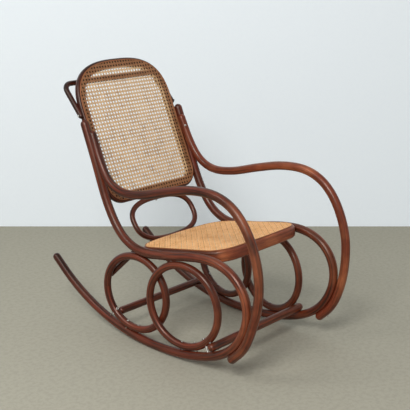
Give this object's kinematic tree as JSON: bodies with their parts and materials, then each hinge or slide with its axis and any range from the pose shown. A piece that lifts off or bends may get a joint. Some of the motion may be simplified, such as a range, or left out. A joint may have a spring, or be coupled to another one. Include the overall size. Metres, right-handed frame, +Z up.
{
  "type": "rocking_chair",
  "caption": "Bentwood rocking chair with scrolled arms and runners, rings between rail and runner, a loop at the lumbar, and a woven cane back and seat.",
  "frame": {"origin": "on the floor, below the middle of the chair's bounds", "axes": "+Z up, the chair's front looks along -Y, +X is the sitter's left"},
  "size_m": [0.5518, 1.0836, 1.0041],
  "materials": {
    "beech": "dark red-brown stain, satin to gloss",
    "cane": "natural woven cane, satin",
    "edge_cane": "cane spline, satin",
    "steel": "dull steel"
  },
  "bodies": {
    "root": {"side_rail_right": "beech", "side_rail_left": "beech", "arm_right": "beech", "arm_left": "beech", "front_ring_right": "beech", "rear_ring_right": "beech", "front_ring_left": "beech", "rear_ring_left": "beech", "ring_brace_right": "beech", "ring_brace_left": "beech", "front_stretcher": "beech", "rear_stretcher": "beech", "seat_frame": "beech", "seat_cane": "cane", "seat_spline": "edge_cane", "back_frame": "beech", "back_cane": "cane", "back_spline": "edge_cane", "head_hoop": "beech", "lumbar_loop": "beech", "ring_screw_front_right_1": "steel", "ring_screw_front_right_2": "steel", "wedge_bolt_front_right": "steel", "ring_screw_rear_right_1": "steel", "ring_screw_rear_right_2": "steel", "wedge_bolt_rear_right": "steel", "ring_screw_front_left_1": "steel", "ring_screw_front_left_2": "steel", "wedge_bolt_front_left": "steel", "ring_screw_rear_left_1": "steel", "ring_screw_rear_left_2": "steel", "wedge_bolt_rear_left": "steel", "arm_top_screw_right": "steel", "arm_foot_screw_right": "steel", "arm_top_screw_left": "steel", "arm_foot_screw_left": "steel", "seat_screw_front_right": "steel", "seat_screw_rear_right": "steel", "back_screw_lower_right": "steel", "back_screw_upper_right": "steel", "seat_screw_front_left": "steel", "seat_screw_rear_left": "steel", "back_screw_lower_left": "steel", "back_screw_upper_left": "steel", "hoop_screw_right": "steel", "hoop_screw_left": "steel", "loop_screw_top": "steel", "loop_screw_bottom": "steel", "front_stretcher_screw_right": "steel", "rear_stretcher_screw_right": "steel", "front_stretcher_screw_left": "steel", "rear_stretcher_screw_left": "steel", "brace_screw_lower_right": "steel", "brace_screw_upper_right": "steel", "brace_screw_lower_left": "steel", "brace_screw_upper_left": "steel"}
  },
  "joints": []
}
